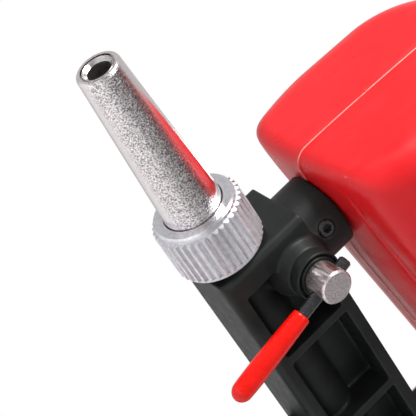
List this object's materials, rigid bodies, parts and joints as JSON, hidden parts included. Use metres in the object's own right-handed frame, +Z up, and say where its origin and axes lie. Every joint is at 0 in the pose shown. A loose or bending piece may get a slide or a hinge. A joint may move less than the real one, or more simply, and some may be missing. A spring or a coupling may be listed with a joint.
{
  "type": "sandblasting gun",
  "caption": "Hand-held air sandblasting gun with a gravity-feed hopper, knurled nozzle nut, lever sand valve and trigger air valve.",
  "frame": {"origin": "centre of the air inlet's mouth at the foot of the grip", "axes": "+X towards the nozzle's tip, +Y towards the side that carries the sand lever, +Z up through the hopper"},
  "size_m": [0.242, 0.08, 0.259],
  "materials": {
    "moulding": "satin black moulded plastic",
    "red_shell": "glossy red blown plastic",
    "cap": "satin black moulded plastic",
    "nozzle_steel": "fine-blasted nickel finish",
    "liner_steel": "hardened bright steel",
    "turned_aluminium": "turned and knurled aluminium",
    "valve_steel": "turned steel",
    "zinc": "bright zinc plate",
    "black_rod": "glossy black",
    "vinyl": "glossy dipped vinyl",
    "brass": "turned brass",
    "rubber": "matt nitrile rubber",
    "lever_black": "satin black moulded plastic",
    "spring_steel": "drawn spring wire"
  },
  "bodies": {
    "gun": {"frame": "moulding", "nozzle": "nozzle_steel", "nozzle_liner": "liner_steel", "nozzle_gasket": "rubber", "air_jet": "brass", "jet_seal": "rubber", "air_tube": "zinc", "spindle_washer": "zinc", "hopper": "red_shell", "hopper_seal": "rubber", "neck_screw": "black_rod", "rear_bolt": "zinc", "rear_washers": "zinc", "rear_nut": "zinc", "trigger_pin": "zinc", "pin_clips": "spring_steel", "valve_gland": "brass", "gland_seal": "rubber", "valve_spring": "spring_steel", "valve_plug": "brass", "plug_seal": "rubber", "inlet_bushing": "brass", "inlet_seal": "rubber"},
    "nut": {"nozzle_nut": "turned_aluminium"},
    "sand_valve": {"sand_spindle": "valve_steel", "spindle_seals": "rubber", "spindle_clip": "spring_steel", "lever_rod": "black_rod", "lever_sleeve": "vinyl"},
    "cap": {"hopper_cap": "cap", "cap_gasket": "rubber"},
    "trigger": {"trigger": "lever_black"},
    "air_valve": {"air_stem": "zinc", "stem_washer": "rubber"}
  },
  "joints": [
    {"name": "nozzle_nut_turn", "type": "hinge", "parent": "gun", "child": "nut", "pos_m": [0.15162, 0, 0.10973], "axis": [1, 0, 0], "continuous": true},
    {"name": "sand_valve_turn", "type": "hinge", "parent": "gun", "child": "sand_valve", "pos_m": [0.12242, 0, 0.12523], "axis": [0, 1, 0], "range_deg": [0, 80]},
    {"name": "cap_lift", "type": "slide", "parent": "gun", "child": "cap", "axis": [0, 0, 1], "range_m": [0, 0.05]},
    {"name": "trigger_pull", "type": "hinge", "parent": "gun", "child": "trigger", "pos_m": [0.05162, 0, 0.09173], "axis": [0, 1, 0], "range_deg": [0, 10], "stiffness_Nm_per_rad": 0.6, "springref_deg": -11.46},
    {"name": "air_valve_slide", "type": "slide", "parent": "gun", "child": "air_valve", "axis": [-1, 0, 0], "range_m": [0, 0.0033], "deforming": ["valve_spring"]}
  ],
  "couplings": [
    {"joint": "air_valve_slide", "follows": "trigger_pull", "m_per_rad": 0.0186}
  ]
}
